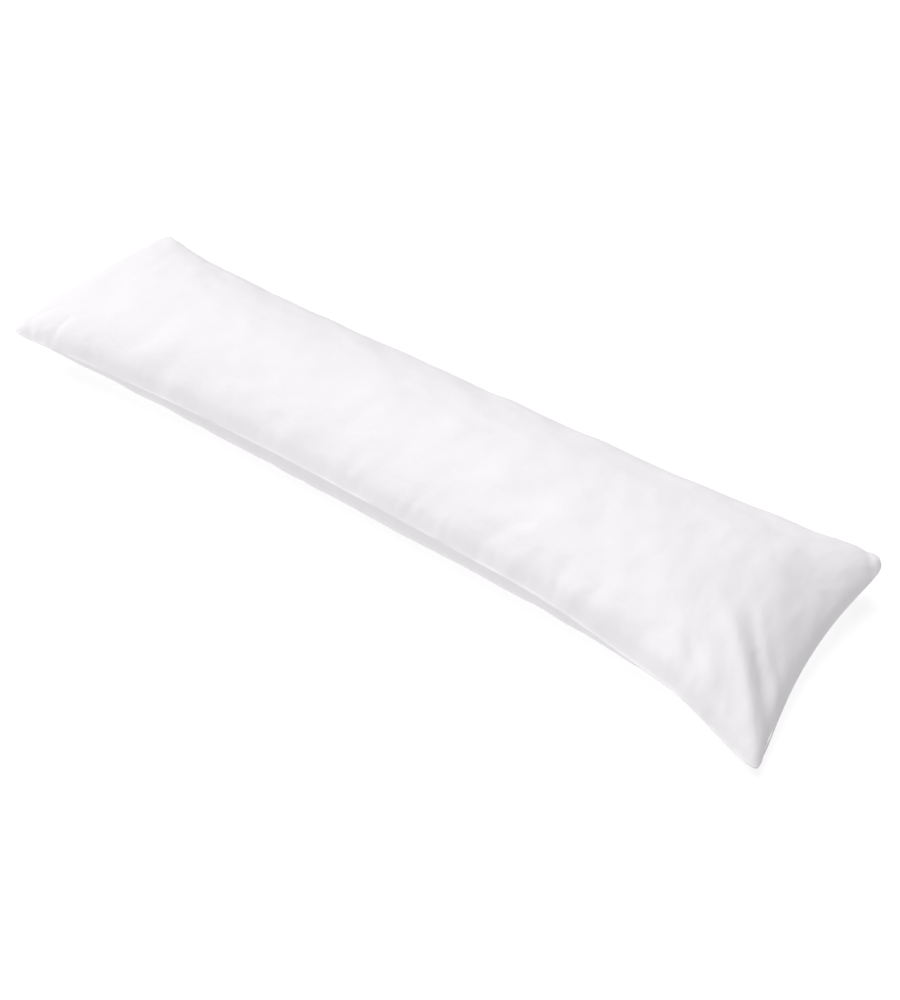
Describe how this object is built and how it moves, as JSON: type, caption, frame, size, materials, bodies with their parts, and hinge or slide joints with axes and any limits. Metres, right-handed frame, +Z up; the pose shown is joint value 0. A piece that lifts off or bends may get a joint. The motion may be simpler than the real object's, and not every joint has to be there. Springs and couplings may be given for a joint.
{
  "type": "body pillow",
  "caption": "Long filled body pillow in a plain white cotton case, crowned along its length, with drawn-in sides and flat corners.",
  "frame": {"origin": "on the surface that the pillow lies on, under the middle of its box", "axes": "+X along the pillow towards its near end, +Y across it towards its far side, +Z up, out of its top panel"},
  "size_m": [1.402, 0.38, 0.1695],
  "materials": {
    "cotton": "matt white woven cotton"
  },
  "bodies": {
    "root": {"pillow": "cotton"}
  },
  "joints": []
}
